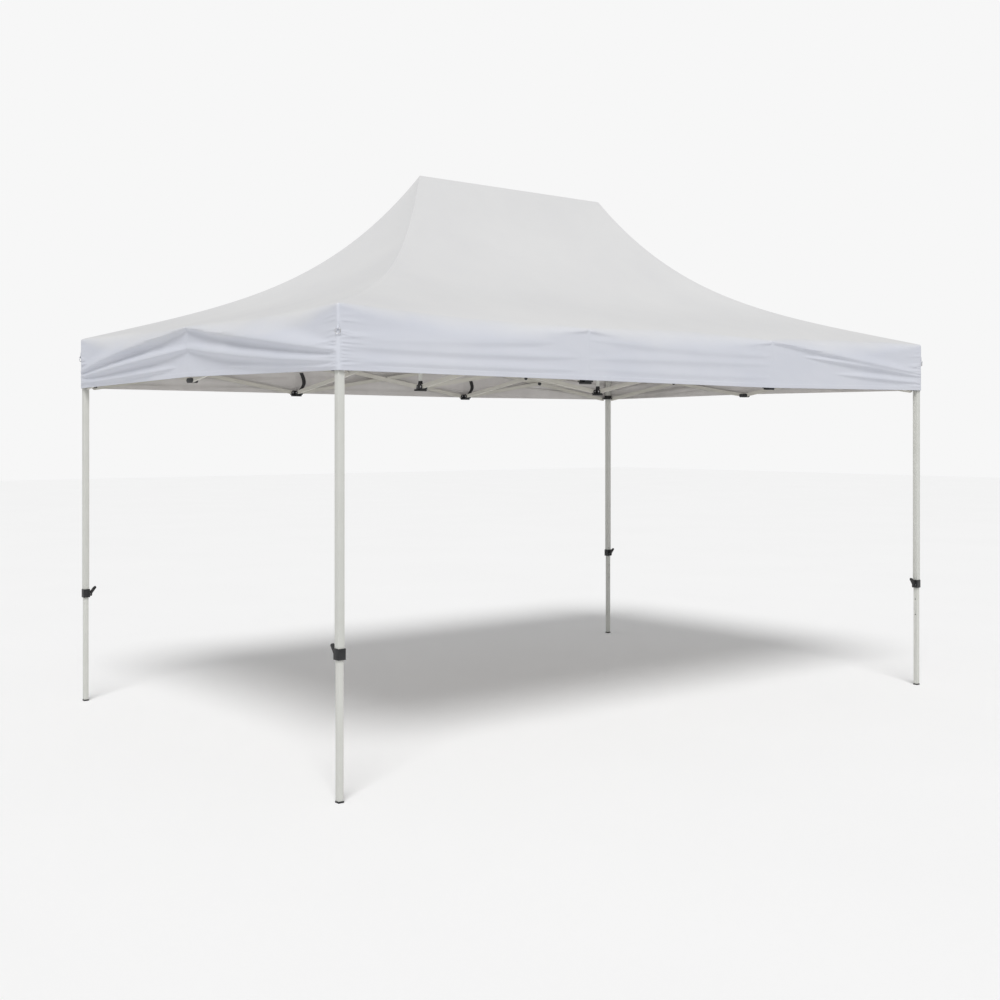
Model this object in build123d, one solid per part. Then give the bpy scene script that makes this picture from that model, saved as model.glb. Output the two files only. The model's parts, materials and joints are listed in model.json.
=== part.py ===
from build123d import *
import math
import os

# Pop up gazebo: a fabric canopy over a steel scissor frame on four telescopic legs.
# Millimetres, +Z up, +X along the ridge, origin on the ground at the middle of the four feet.

# Driving dimensions
HALF_LENGTH = 2200.0  # centre to leg axis along X
UPPER_PIVOT_Z = 2135.0  # every upper scissor pivot
LOWER_PIVOT_Z = 1912.0  # every lower scissor pivot, frame open
EAVE_Z = 2209.0
VALANCE_Z = 1909.0
RIDGE_Z = 3172.0
RIDGE_HALF = 728.0

# Scissor bars: flat oval steel tube with round ends
BAR_DEPTH = 24.0
BAR_THICKNESS = 12.0
BAR_WALL = 0.8
BAR_LAYER = 7.0  # the two bars of one cross sit this far either side of the truss plane

# Pivot pins and the holes that turn on them
PIN_RADIUS = 3.0
PIN_HOLE_RADIUS = 3.3
HEAD_RADIUS = 5.5
HEAD_HEIGHT = 1.3
PIN_END_PLAY = 0.2
PIN_FIT = 0.05  # around a pin that is fixed in its fork
SPACER_RADIUS = 9.0
SPACER_THICKNESS = 1.8

# Pivot places along a truss, measured from the axis of the leg or connector
LEG_PIVOT_OFFSET = 54.0
CONNECTOR_PIVOT_OFFSET = 27.0

# Forked arms of the connectors, brackets and sliders
CHEEK = 3.0
CHEEK_GAP = 1.0  # between a cheek and the bar that it holds
FORK_PLATE_GAP = 13.0  # pivot to the plate that closes the fork
FORK_WEB = 2.2  # how deep the fork's back wall runs into the body
CONNECTOR_BLOCK = 28.0
TUBE_FIT = 0.1  # on each side of a tube that is fixed in a moulding

# Legs
UPPER_LEG = 32.0
UPPER_LEG_WALL = 1.0
UPPER_LEG_BOTTOM_Z = 650.0
UPPER_LEG_TOP_Z = 2190.0
LOWER_LEG = 26.0
LOWER_LEG_WALL = 1.2
LOWER_LEG_TOP_Z = 830.0
FOOT = 29.0
FOOT_HEIGHT = 8.0
FOOT_FLOOR = 2.0
GUIDE_PLUG = 29.4
GUIDE_PLUG_HEIGHT = 14.0
HEIGHT_HOLE_RADIUS = 4.0
HEIGHT_HOLES_Z = (457.0, 557.0, 657.0)
BRACKET = 38.0
BRACKET_DROP = 30.0  # the bracket reaches this far below the upper pivots
BRACKET_TOP = 6.0
SLIDER = 40.0
SLIDER_BORE = 32.6
SLIDER_RISE = 30.0  # the sleeve reaches this far above the lower pivots

# Leg lock: housing at the foot of the upper leg, with a thumb lever on one face
LOCK = 40.0
LOCK_BOTTOM_Z = 632.0
LOCK_TOP_Z = 682.0
LOCK_BORE = 26.6
LEVER_HALF_WIDTH = 8.0
LEVER_PIVOT_Y = 26.0
LEVER_PIVOT_Z = 651.0
LEVER_PIN_RADIUS = 2.0
LEVER_HOLE_RADIUS = 2.3
EAR_THICKNESS = 2.6
EAR_REACH = 11.0
EAR_HALF_HEIGHT = 10.0
EAR_GAP = 0.4  # between the lever and each ear
# Side outline of the lever, outwards from the leg and up
LEVER_OUTLINE = (
    (23.0, 647.0),
    (28.0, 639.0),
    (34.0, 638.0),
    (38.0, 643.0),
    (38.0, 653.0),
    (50.0, 669.0),
    (65.0, 688.0),
    (60.0, 697.0),
    (47.0, 688.0),
    (35.0, 672.0),
    (23.0, 664.0),
)

# Peak poles, fixed in the lower hubs and running through the upper ones
POLE_RADIUS = 11.0
POLE_WALL = 1.0
POLE_BORE_RADIUS = 11.5
POLE_SOCKET_RADIUS = 11.1
POLE_SOCKET_FLOOR = 3.0
POLE_TOP_Z = 3156.0

# Canopy fabric
FABRIC = 1.0
CANOPY_OVERHANG = 22.0  # outside of the valance beyond the leg axis
ROOF_BREAKS = (0.0, 0.5, 0.78, 1.0)  # eave to ridge, where the flat panels meet
ROOF_STRAIGHT_SHARE = 0.45  # the rest of the rise grows with the fourth power

# Cutting shapes
PAST = 1.0  # how far a cutting shape runs past what it cuts
THROUGH = 100.0  # longer than any moulding is wide

# Worked out from the above
CROSSES_IN_HALF_LENGTH = 1.5
ARMS_IN_HALF_LENGTH = CONNECTOR_PIVOT_OFFSET * 2 + LEG_PIVOT_OFFSET
SPAN = (HALF_LENGTH - ARMS_IN_HALF_LENGTH) / CROSSES_IN_HALF_LENGTH  # pivot to pivot across one cross
HALF_WIDTH = LEG_PIVOT_OFFSET + SPAN
HUB_X = CONNECTOR_PIVOT_OFFSET + SPAN / 2
RISE = UPPER_PIVOT_Z - LOWER_PIVOT_Z
BAR_LENGTH = math.hypot(SPAN, RISE)
BAR_TILT = math.degrees(math.atan2(RISE, SPAN))
CROSSING_Z = (UPPER_PIVOT_Z + LOWER_PIVOT_Z) / 2
BAR_OUTER = BAR_LAYER + BAR_THICKNESS / 2
FORK_OUTER = BAR_OUTER + CHEEK_GAP
FORK_INNER = BAR_LAYER - BAR_THICKNESS / 2 - CHEEK_GAP
FORK_TOP = FORK_PLATE_GAP + CHEEK


def box(x, y, z):
    """A box from three (low, high) pairs."""
    size = [high - low for low, high in (x, y, z)]
    centre = [(low + high) / 2 for low, high in (x, y, z)]
    return Pos(*centre) * Box(*size)


def square_tube(width, wall, bottom, top):
    outer = box((-width / 2, width / 2), (-width / 2, width / 2), (bottom, top))
    return outer - square_bar(width - 2 * wall, bottom - PAST, top + PAST)


def square_bar(width, bottom, top):
    return box((-width / 2, width / 2), (-width / 2, width / 2), (bottom, top))


def pin(low, high):
    """A riveted pin along Y whose two heads stand outside low and high."""
    shank = Pos(0, (low + high) / 2, 0) * Rot(90, 0, 0) * Cylinder(PIN_RADIUS, high - low)
    for y in (low - HEAD_HEIGHT / 2, high + HEAD_HEIGHT / 2):
        shank += Pos(0, y, 0) * Rot(90, 0, 0) * Cylinder(HEAD_RADIUS, HEAD_HEIGHT)
    return shank


def bar_rivet():
    """The pin and plastic spacer that join two bars face to face."""
    reach = BAR_OUTER + PIN_END_PLAY
    spacer = Rot(90, 0, 0) * Cylinder(SPACER_RADIUS, SPACER_THICKNESS)
    spacer -= Rot(90, 0, 0) * Cylinder(PIN_HOLE_RADIUS, SPACER_THICKNESS + PAST)
    return [pin(-reach, reach), spacer]


def bar(layer, rivets):
    """One bar along X about its middle hole, with rivets at the given places along it."""
    tube = extrude(Plane.XZ * SlotCenterToCenter(BAR_LENGTH, BAR_DEPTH), BAR_THICKNESS / 2, both=True)
    tube -= Box(BAR_LENGTH + 2 * BAR_DEPTH, BAR_THICKNESS - 2 * BAR_WALL, BAR_DEPTH - 2 * BAR_WALL)
    for x in (-BAR_LENGTH / 2, 0, BAR_LENGTH / 2):
        tube -= Pos(x, 0, 0) * Rot(90, 0, 0) * Cylinder(PIN_HOLE_RADIUS, 2 * BAR_THICKNESS)
    solids = [Pos(0, layer * BAR_LAYER, 0) * tube]
    for x in rivets:
        solids += [Pos(x, 0, 0) * solid for solid in bar_rivet()]
    return solids


def fork(start, pivot):
    """An upper arm along X for one bar that swings down: (arm, pin)."""
    end = pivot + BAR_DEPTH / 2
    side = box((start, pivot), (0, CHEEK), (-BAR_DEPTH / 2, FORK_TOP))
    side += box((pivot, end), (0, CHEEK), (0, FORK_TOP))
    side += Pos(pivot, CHEEK / 2, 0) * Rot(90, 0, 0) * Cylinder(BAR_DEPTH / 2, CHEEK)
    inner, outer = FORK_INNER - CHEEK, FORK_OUTER + CHEEK
    arm = Pos(0, inner, 0) * side
    arm += Pos(0, FORK_OUTER, 0) * side
    arm += box((start, end), (inner, outer), (FORK_PLATE_GAP, FORK_TOP))
    arm += box((start - FORK_WEB, start), (inner, outer), (-BAR_DEPTH / 2, FORK_TOP))
    arm -= Pos(pivot, (inner + outer) / 2, 0) * Rot(90, 0, 0) * Cylinder(PIN_RADIUS + PIN_FIT, THROUGH)
    return arm, Pos(pivot, 0, 0) * pin(inner - PIN_FIT, outer + PIN_FIT)


def forked(body, start, pivot, angles):
    """The body with a fork at each angle, and the forks' pins: a list of solids."""
    pins = []
    for angle in angles:
        arm, arm_pin = fork(start, pivot)
        body += Rot(0, 0, angle) * arm
        pins.append(Rot(0, 0, angle) * arm_pin)
    return [body] + pins


def upside_down(solids):
    """Turns an upper piece over into its lower twin."""
    return [Rot(180, 0, 0) * solid for solid in solids]


def connector(angles, upper, pole=False):
    """A moulded connector about its own pivot height, with a fork at each angle."""
    half = CONNECTOR_BLOCK / 2
    block = box((-half, half), (-half, half), (-BAR_DEPTH / 2, FORK_TOP))
    if pole and upper:
        block -= Cylinder(POLE_BORE_RADIUS, THROUGH)
    if pole and not upper:
        deep = FORK_TOP - POLE_SOCKET_FLOOR
        block -= Pos(0, 0, deep - THROUGH / 2) * Cylinder(POLE_SOCKET_RADIUS, THROUGH)
    turned = [angle if upper else -angle for angle in angles]
    solids = forked(block, half, CONNECTOR_PIVOT_OFFSET, turned)
    return solids if upper else upside_down(solids)


def peak_pole():
    """The pole and its rounded plug, about the lower hub's pivot height."""
    bottom = POLE_SOCKET_FLOOR - FORK_TOP
    top = POLE_TOP_Z - LOWER_PIVOT_Z - POLE_RADIUS
    height = top - bottom
    tube = Pos(0, 0, (top + bottom) / 2) * Cylinder(POLE_RADIUS, height)
    tube -= Pos(0, 0, (top + bottom) / 2) * Cylinder(POLE_RADIUS - POLE_WALL, height + 2 * PAST)
    plug = Pos(0, 0, top) * Sphere(POLE_RADIUS)
    plug &= Pos(0, 0, top + POLE_RADIUS) * Cylinder(2 * POLE_RADIUS, 2 * POLE_RADIUS)
    return [tube, plug]


def upper_leg():
    """Upper leg tube with its head bracket and lock housing, lock lever side on +Y."""
    tube = square_tube(UPPER_LEG, UPPER_LEG_WALL, UPPER_LEG_BOTTOM_Z, UPPER_LEG_TOP_Z)
    cap = square_bar(BRACKET, -BRACKET_DROP, UPPER_LEG_TOP_Z + BRACKET_TOP - UPPER_PIVOT_Z)
    cap -= square_bar(UPPER_LEG + 2 * TUBE_FIT, -BRACKET_DROP - PAST, UPPER_LEG_TOP_Z + TUBE_FIT - UPPER_PIVOT_Z)
    head = forked(cap, BRACKET / 2, LEG_PIVOT_OFFSET, (0, 90))
    return [tube] + [Pos(0, 0, UPPER_PIVOT_Z) * solid for solid in head] + lock_housing()


def lock_housing():
    """Sleeve under the upper leg with two ears and the lever's pin."""
    housing = square_bar(LOCK, LOCK_BOTTOM_Z, LOCK_TOP_Z)
    housing -= square_bar(UPPER_LEG + 2 * TUBE_FIT, UPPER_LEG_BOTTOM_Z, LOCK_TOP_Z + PAST)
    housing -= square_bar(LOCK_BORE, LOCK_BOTTOM_Z - PAST, LOCK_TOP_Z)
    inner = LEVER_HALF_WIDTH + EAR_GAP
    face = LOCK / 2
    for side in (-1, 1):
        x = sorted((side * inner, side * (inner + EAR_THICKNESS)))
        z = (LEVER_PIVOT_Z - EAR_HALF_HEIGHT, LEVER_PIVOT_Z + EAR_HALF_HEIGHT)
        housing += box(x, (face, face + EAR_REACH), z)
    at_pivot = Pos(0, LEVER_PIVOT_Y, LEVER_PIVOT_Z) * Rot(0, 90, 0)
    housing -= at_pivot * Cylinder(LEVER_PIN_RADIUS + PIN_FIT, LOCK)
    lever_pin = at_pivot * Cylinder(LEVER_PIN_RADIUS, 2 * (inner + EAR_THICKNESS + PAST))
    return [housing, lever_pin]


def lock_lever():
    outline = Plane.YZ * make_face(Polyline(*LEVER_OUTLINE, close=True))
    lever = extrude(outline, LEVER_HALF_WIDTH, both=True)
    hole = Pos(0, LEVER_PIVOT_Y, LEVER_PIVOT_Z) * Rot(0, 90, 0) * Cylinder(LEVER_HOLE_RADIUS, LOCK)
    return [lever - hole]


def lower_leg():
    """Lower leg tube with its foot cap and guide plug; the height holes face +Y."""
    tube = square_tube(LOWER_LEG, LOWER_LEG_WALL, FOOT_FLOOR, LOWER_LEG_TOP_Z)
    for z in HEIGHT_HOLES_Z:
        tube -= Pos(0, LOWER_LEG / 2, z) * Rot(90, 0, 0) * Cylinder(HEIGHT_HOLE_RADIUS, LOWER_LEG / 2)
    foot = square_bar(FOOT, 0, FOOT_HEIGHT)
    foot -= square_bar(LOWER_LEG + 2 * TUBE_FIT, FOOT_FLOOR, FOOT_HEIGHT + PAST)
    plug = square_bar(GUIDE_PLUG, LOWER_LEG_TOP_Z - GUIDE_PLUG_HEIGHT, LOWER_LEG_TOP_Z)
    plug -= square_bar(LOWER_LEG + 2 * TUBE_FIT, 0, LOWER_LEG_TOP_Z + PAST)
    return [tube, foot, plug]


def slider():
    """Sleeve that runs on the upper leg and carries the lower bar ends."""
    sleeve = square_bar(SLIDER, -SLIDER_RISE, FORK_TOP)
    sleeve -= square_bar(SLIDER_BORE, -SLIDER_RISE - PAST, FORK_TOP + PAST)
    solids = forked(sleeve, SLIDER / 2, LEG_PIVOT_OFFSET, (0, -90))
    return [Pos(0, 0, LOWER_PIVOT_Z) * solid for solid in upside_down(solids)]


def roof_height(share):
    """Height of the roof at a share of the way from the eave to the ridge."""
    curve = ROOF_STRAIGHT_SHARE * share + (1 - ROOF_STRAIGHT_SHARE) * share**4
    return EAVE_Z + (RIDGE_Z - EAVE_Z) * curve


def roof_ring(share):
    """The four corners of the roof, anticlockwise from front left, at that share."""
    half_x = HALF_LENGTH + CANOPY_OVERHANG
    half_y = HALF_WIDTH + CANOPY_OVERHANG
    x = half_x + (RIDGE_HALF - half_x) * share
    y = half_y * (1 - share)
    z = roof_height(share)
    return [(-x, -y, z), (x, -y, z), (x, y, z), (-x, y, z)]


def canopy():
    """Roof panels, each flat, and the four valances."""
    solids = []
    for low, high in zip(ROOF_BREAKS, ROOF_BREAKS[1:]):
        lower, upper = roof_ring(low), roof_ring(high)
        for side in range(4):
            after = (side + 1) % 4
            corners = [lower[side], lower[after], upper[after], upper[side]]
            if upper[side] == upper[after]:
                corners.pop()
            panel = Face(Wire.make_polygon([Vector(*corner) for corner in corners]))
            solids.append(Solid.extrude(panel, Vector(0, 0, -FABRIC)))
    outer = roof_ring(0)
    for side in range(4):
        after = (side + 1) % 4
        edge = [outer[side], outer[after]]
        inset = [(x - math.copysign(FABRIC, x), y - math.copysign(FABRIC, y), z) for x, y, z in edge]
        ring = edge + inset[::-1]
        plan = Face(Wire.make_polygon([Vector(x, y, VALANCE_Z) for x, y, z in ring]))
        solids.append(Solid.extrude(plan, Vector(0, 0, EAVE_Z - FABRIC - VALANCE_Z)))
    return solids


def placed(solids, x, y, z=0.0, turn=0.0):
    return [Pos(x, y, z) * Rot(0, 0, turn) * solid for solid in solids]


def tilted(solids, angle):
    return [Rot(0, angle, 0) * solid for solid in solids]


def write(name, solids):
    parts = []
    for solid in solids:
        parts += solid.solids()
    export_step(Compound(children=parts), f"parts/{name}.step")


def write_truss(name, cells, turn, end_pins=False):
    """The bars of one truss: cells maps each cross's name to its centre."""
    for cell, (x, y) in cells.items():
        joined = [BAR_LENGTH / 2] if end_pins and cell == "front" else []
        falling = tilted(bar(1, [0.0] + joined), BAR_TILT)
        rising = tilted(bar(-1, joined), -BAR_TILT)
        stem = f"{name}_{cell}" if cell else name
        write(f"{stem}_falling_bar", placed(falling, x, y, CROSSING_Z, turn))
        write(f"{stem}_rising_bar", placed(rising, x, y, CROSSING_Z, turn))


os.makedirs("parts", exist_ok=True)

write("canopy", canopy())

outer_x = HUB_X + CONNECTOR_PIVOT_OFFSET + SPAN / 2
short_y = SPAN / 2
cross_y = CONNECTOR_PIVOT_OFFSET + SPAN / 2
for name, y in (("front_truss", -HALF_WIDTH), ("back_truss", HALF_WIDTH)):
    write_truss(name, {"left": (-outer_x, y), "middle": (0, y), "right": (outer_x, y)}, 0)
for name, x in (("left_truss", -HALF_LENGTH), ("right_truss", HALF_LENGTH)):
    write_truss(name, {"front": (x, -short_y), "back": (x, short_y)}, 90, end_pins=True)
for name, x in (("left_cross_truss", -HUB_X), ("right_cross_truss", HUB_X)):
    write_truss(name, {"front": (x, -cross_y), "back": (x, cross_y)}, 90)
write_truss("ridge_truss", {"": (0, 0)}, 0)

for name, x, y, angles in (
    ("front_left", -HUB_X, -HALF_WIDTH, (0, 90, 180)),
    ("front_right", HUB_X, -HALF_WIDTH, (0, 90, 180)),
    ("back_left", -HUB_X, HALF_WIDTH, (0, 180, 270)),
    ("back_right", HUB_X, HALF_WIDTH, (0, 180, 270)),
):
    write(f"{name}_upper_connector", placed(connector(angles, True), x, y, UPPER_PIVOT_Z))
    write(f"{name}_lower_connector", placed(connector(angles, False), x, y, LOWER_PIVOT_Z))

for name, x, angles in (("left", -HUB_X, (0, 90, 270)), ("right", HUB_X, (90, 180, 270))):
    upper_hub = connector(angles, True, pole=True)
    lower_hub = connector(angles, False, pole=True) + peak_pole()
    write(f"{name}_upper_hub", placed(upper_hub, x, 0, UPPER_PIVOT_Z))
    write(f"{name}_lower_hub_and_peak_pole", placed(lower_hub, x, 0, LOWER_PIVOT_Z))

for name, x, y, turn in (
    ("front_left", -HALF_LENGTH, -HALF_WIDTH, 0),
    ("front_right", HALF_LENGTH, -HALF_WIDTH, 90),
    ("back_right", HALF_LENGTH, HALF_WIDTH, 180),
    ("back_left", -HALF_LENGTH, HALF_WIDTH, 270),
):
    write(f"{name}_upper_leg", placed(upper_leg(), x, y, turn=turn))
    write(f"{name}_slider", placed(slider(), x, y, turn=turn))
    write(f"{name}_lower_leg", placed(lower_leg(), x, y, turn=turn))
    write(f"{name}_lock_lever", placed(lock_lever(), x, y, turn=turn))
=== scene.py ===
import json
import math
import random

import bmesh
import bpy
import numpy as np
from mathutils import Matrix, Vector

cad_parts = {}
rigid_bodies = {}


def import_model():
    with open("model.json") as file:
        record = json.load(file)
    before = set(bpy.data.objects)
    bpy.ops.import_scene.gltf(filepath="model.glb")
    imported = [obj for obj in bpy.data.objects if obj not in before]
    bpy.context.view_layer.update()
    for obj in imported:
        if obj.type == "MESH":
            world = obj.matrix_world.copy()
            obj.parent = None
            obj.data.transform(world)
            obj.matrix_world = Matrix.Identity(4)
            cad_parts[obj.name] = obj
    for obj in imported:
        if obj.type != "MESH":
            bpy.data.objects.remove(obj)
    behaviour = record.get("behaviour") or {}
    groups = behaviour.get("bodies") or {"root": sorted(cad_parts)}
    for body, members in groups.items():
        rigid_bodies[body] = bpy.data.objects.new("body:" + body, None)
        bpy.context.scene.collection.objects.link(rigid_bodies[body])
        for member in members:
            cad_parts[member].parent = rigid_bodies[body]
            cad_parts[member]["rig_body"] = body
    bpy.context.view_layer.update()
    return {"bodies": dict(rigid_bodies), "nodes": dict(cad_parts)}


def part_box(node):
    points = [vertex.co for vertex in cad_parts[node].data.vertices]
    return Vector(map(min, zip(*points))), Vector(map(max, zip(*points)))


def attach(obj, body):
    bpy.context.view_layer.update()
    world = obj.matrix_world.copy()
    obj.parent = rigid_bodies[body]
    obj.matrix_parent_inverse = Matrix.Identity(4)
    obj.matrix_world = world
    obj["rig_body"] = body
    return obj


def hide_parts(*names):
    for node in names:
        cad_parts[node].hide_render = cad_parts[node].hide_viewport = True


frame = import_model()

# ---------------------------------------------------------------- places, read from the frame
CANOPY_LOW, CANOPY_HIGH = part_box("canopy")
OUT_X = CANOPY_HIGH.x
OUT_Y = CANOPY_HIGH.y
RIDGE_Z = CANOPY_HIGH.z
HEM_Z = CANOPY_LOW.z


def middle(node):
    low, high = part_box(node)
    return (low + high) / 2


LEG_X = middle("front_right_lower_leg").x
LEG_Y = middle("back_right_lower_leg").y
RIDGE_BAR_LOW, RIDGE_BAR_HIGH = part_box("ridge_truss_falling_bar")
BAR_HALF_DEPTH = 0.012
HUB_TO_BAR_END = 0.015  # from the axis of a hub or connector to the end of a bar that turns on it
HUB_X = RIDGE_BAR_HIGH.x + HUB_TO_BAR_END
UPPER_PIVOT_Z = RIDGE_BAR_HIGH.z - BAR_HALF_DEPTH
LOWER_PIVOT_Z = RIDGE_BAR_LOW.z + BAR_HALF_DEPTH
# Which side of the middle each leg stands on, in x and y
LEGS = {"front_left": (-1, -1), "front_right": (1, -1), "back_right": (1, 1), "back_left": (-1, 1)}

# ---------------------------------------------------------------- dimensions, metres
ROOF_RISE = 0.963  # from the eave at a corner to the ridge
EAVE_CORNER_Z = RIDGE_Z - ROOF_RISE
EAVE_LONG_Z = 2.168  # at the connectors of the long sides
EAVE_SHORT_Z = 2.196  # at the middle of the short sides
RIDGE_HALF = 0.728
ROOF_STRAIGHT_SHARE = 0.45  # of the roof's rise that is even; the rest steepens towards the ridge
ROOF_BELLY = 0.030  # how far a roof panel hangs in its middle
CLOTH = 0.0012
CORNER_RADIUS = 0.006
CORNER_ROUND_UP_TO = 0.05  # share of the way up the roof at which a hip is sharp
POST_EAVE_RADIUS = 0.010
FREE_EAVE_RADIUS = 0.062  # added half way between two supports
HEM_TALL = 0.024
HEM_STANDS_OUT = 0.0012
ROOF_SINK = 0.73  # share of the lower pivots' travel that the ridge takes as the frame folds
ROOF_SINK_FROM = 2.25  # roof cloth under this height stays with the upper pivots
POST_REACH = 0.070  # cloth this near a post keeps its shape as the frame folds
RING_Z = 2.085
RING_RADIUS = 0.0125
RING_WIRE = 0.0018
RING_OUT = 0.0045  # from the seam to the middle of the wire
RING_STEPS = 32
SEAM_IN = 0.0015  # from the sides of the cover to its corner seam
TAB_WIDTH = 0.010
TAB_THICK = 0.0010
# The tab's bends round the ring's wire: out from the corner, and up from the top of the ring
TAB_BENDS = (
    (0.0012, 0.030),
    (0.0016, 0.010),
    (RING_OUT + 0.0028, 0.0030),
    (RING_OUT + 0.0036, -0.0010),
    (RING_OUT, -0.0042),
    (0.0012, -0.0030),
)
STRAP_WIDTH = 0.025
STRAP_THICK = 0.0018
STRAP_ACROSS = Vector((0.75, -0.66, 0.10))  # the direction of a strap's width
# A strap's bends: out along x and inwards along y from its connector's axis, and up from its top
STRAP_BENDS = (
    (0.012, 0.016, -0.006),
    (0.022, 0.026, 0.012),
    (0.037, 0.036, 0.045),
    (0.034, 0.034, 0.084),
    (0.022, 0.026, 0.122),
)
CLOTH_THREAD = 0.0009
WEBBING_THREAD = 0.0018
STITCH = 0.004
STITCH_SHARE = 0.7  # of a stitch's length that shows as thread
STITCH_HALF_WIDTH = 0.0005
HEM_STITCHES = (HEM_TALL - 0.003, 0.004)  # up from the hem
CONNECTOR_HALF_HEIGHT = 0.016
FOOT_THICK = 0.0100
FOOT_INSIDE = 0.0006  # how far a foot runs into its connector
CONNECTOR_FOOT_HALF = 0.039
HUB_FOOT_HALF = 0.043
FOOT_HALF_WIDTH = 0.016
COLLAR_UP = 0.0122  # from the lower pivots to the collar
# The collar's profile, as rows of radius and height
COLLAR = ((0.0150, 0.000), (0.0150, 0.005), (0.0138, 0.011), (0.0125, 0.020), (0.0118, 0.022))
CHEEK_RADIUS = 0.013
LOWER_CHEEK_HALF = 0.038
UPPER_CHEEK_HALF = 0.017
CHEEK_OVERLAP = 0.0016
CHEEK_PROUD = 0.0012
CROSSING_CAP = 0.014
CROSSING_CAP_PROUD = 0.0022
MOULDING_REACH = 0.0365  # of a leg's mouldings, across plus along, from the leg's axis to the cloth
SLIDER_TRIM_Z = LOWER_PIVOT_Z + 0.006
SLIDER_TRIM_SHARE = 0.75  # how much of its depth below that height a slider's underside loses
# Where the bluer valance begins to fade and where the whiter roof, painted light from above, begins,
# up from the hem, and how far that line wanders
EAVE_IN_UV = (0.235, 0.335)
EAVE_WANDER_IN_UV = 0.12


# ---------------------------------------------------------------- small mesh helpers
def new_object(name, mesh):
    obj = bpy.data.objects.new(name, mesh)
    bpy.context.scene.collection.objects.link(obj)
    return obj


def from_bmesh(name, bm):
    mesh = bpy.data.meshes.new(name)
    bm.to_mesh(mesh)
    bm.free()
    return new_object(name, mesh)


def smooth(obj, angle=35.0):
    mesh = obj.data
    mesh.polygons.foreach_set("use_smooth", [True] * len(mesh.polygons))
    mesh.set_sharp_from_angle(angle=math.radians(angle))
    return obj


def apply_modifiers(obj):
    graph = bpy.context.evaluated_depsgraph_get()
    mesh = bpy.data.meshes.new_from_object(obj.evaluated_get(graph), depsgraph=graph)
    obj.modifiers.clear()
    obj.data = mesh
    return obj


def rounded(obj, width, segments=3):
    bevel = obj.modifiers.new("edges", "BEVEL")
    bevel.width = width
    bevel.segments = segments
    bevel.limit_method = "ANGLE"
    bevel.angle_limit = math.radians(40)
    apply_modifiers(obj)
    return smooth(obj, 40)


# ---------------------------------------------------------------- materials
def node_material(name, colour, roughness, metallic=0.0, sheen=0.0):
    material = bpy.data.materials.new(name)
    material.use_nodes = True
    shader = material.node_tree.nodes["Principled BSDF"]
    shader.inputs["Base Color"].default_value = (*colour, 1)
    shader.inputs["Roughness"].default_value = roughness
    shader.inputs["Metallic"].default_value = metallic
    shader.inputs["Sheen Weight"].default_value = sheen
    return material, material.node_tree, shader


def link(tree, a, b):
    tree.links.new(a, b)


def coordinates(tree, kind="Object"):
    return tree.nodes.new("ShaderNodeTexCoord").outputs[kind]


def noise_node(tree, source, scale, detail=3.0, rough=0.55):
    node = tree.nodes.new("ShaderNodeTexNoise")
    node.inputs["Scale"].default_value = scale
    node.inputs["Detail"].default_value = detail
    node.inputs["Roughness"].default_value = rough
    link(tree, source, node.inputs["Vector"])
    return node.outputs["Fac"]


def ramp(tree, value, low, high, at=(0.3, 0.7)):
    node = tree.nodes.new("ShaderNodeValToRGB")
    node.color_ramp.elements[0].position = at[0]
    node.color_ramp.elements[1].position = at[1]
    node.color_ramp.elements[0].color = (*low, 1)
    node.color_ramp.elements[1].color = (*high, 1)
    link(tree, value, node.inputs["Fac"])
    return node.outputs["Color"]


def map_range(tree, value, low, high):
    node = tree.nodes.new("ShaderNodeMapRange")
    node.inputs["To Min"].default_value = low
    node.inputs["To Max"].default_value = high
    link(tree, value, node.inputs["Value"])
    return node.outputs["Result"]


def bump(tree, shader, height, strength, distance):
    node = tree.nodes.new("ShaderNodeBump")
    node.inputs["Strength"].default_value = strength
    node.inputs["Distance"].default_value = distance
    link(tree, height, node.inputs["Height"])
    link(tree, node.outputs["Normal"], shader.inputs["Normal"])


def math_node(tree, operation, a, b):
    node = tree.nodes.new("ShaderNodeMath")
    node.operation = operation
    for socket, value in zip(node.inputs, (a, b)):
        if isinstance(value, (int, float)):
            socket.default_value = value
        else:
            link(tree, value, socket)
    return node.outputs["Value"]


def woven(tree, uv, pitch):
    """Plain weave height, 0 to 1, from two crossed sets of threads a pitch apart, in metres."""
    heights = []
    for axis in ("X", "Y"):
        wave = tree.nodes.new("ShaderNodeTexWave")
        wave.bands_direction = axis
        wave.inputs["Scale"].default_value = math.pi / (10 * pitch)
        wave.inputs["Distortion"].default_value = 0.2
        link(tree, uv, wave.inputs["Vector"])
        heights.append(wave.outputs["Fac"])
    return math_node(tree, "MAXIMUM", *heights)


def threshold(tree, value, at, soft):
    """1 where value is under at, falling to 0 over soft."""
    node = tree.nodes.new("ShaderNodeMapRange")
    node.inputs["From Min"].default_value = at + soft
    node.inputs["From Max"].default_value = at
    link(tree, value, node.inputs["Value"])
    return node.outputs["Result"]


def stitches(tree, across, along, places):
    """Rows of lock stitches at the given places, each stitch with a short gap after it."""
    total = None
    run = math_node(tree, "FRACT", math_node(tree, "MULTIPLY", along, 1 / STITCH), 0.0)
    dashes = threshold(tree, run, STITCH_SHARE, 0.1)
    for place in places:
        distance = math_node(tree, "ABSOLUTE", math_node(tree, "SUBTRACT", across, place), 0.0)
        row = threshold(tree, distance, STITCH_HALF_WIDTH, 0.0004)
        total = row if total is None else math_node(tree, "MAXIMUM", total, row)
    return math_node(tree, "MULTIPLY", total, dashes)


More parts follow.
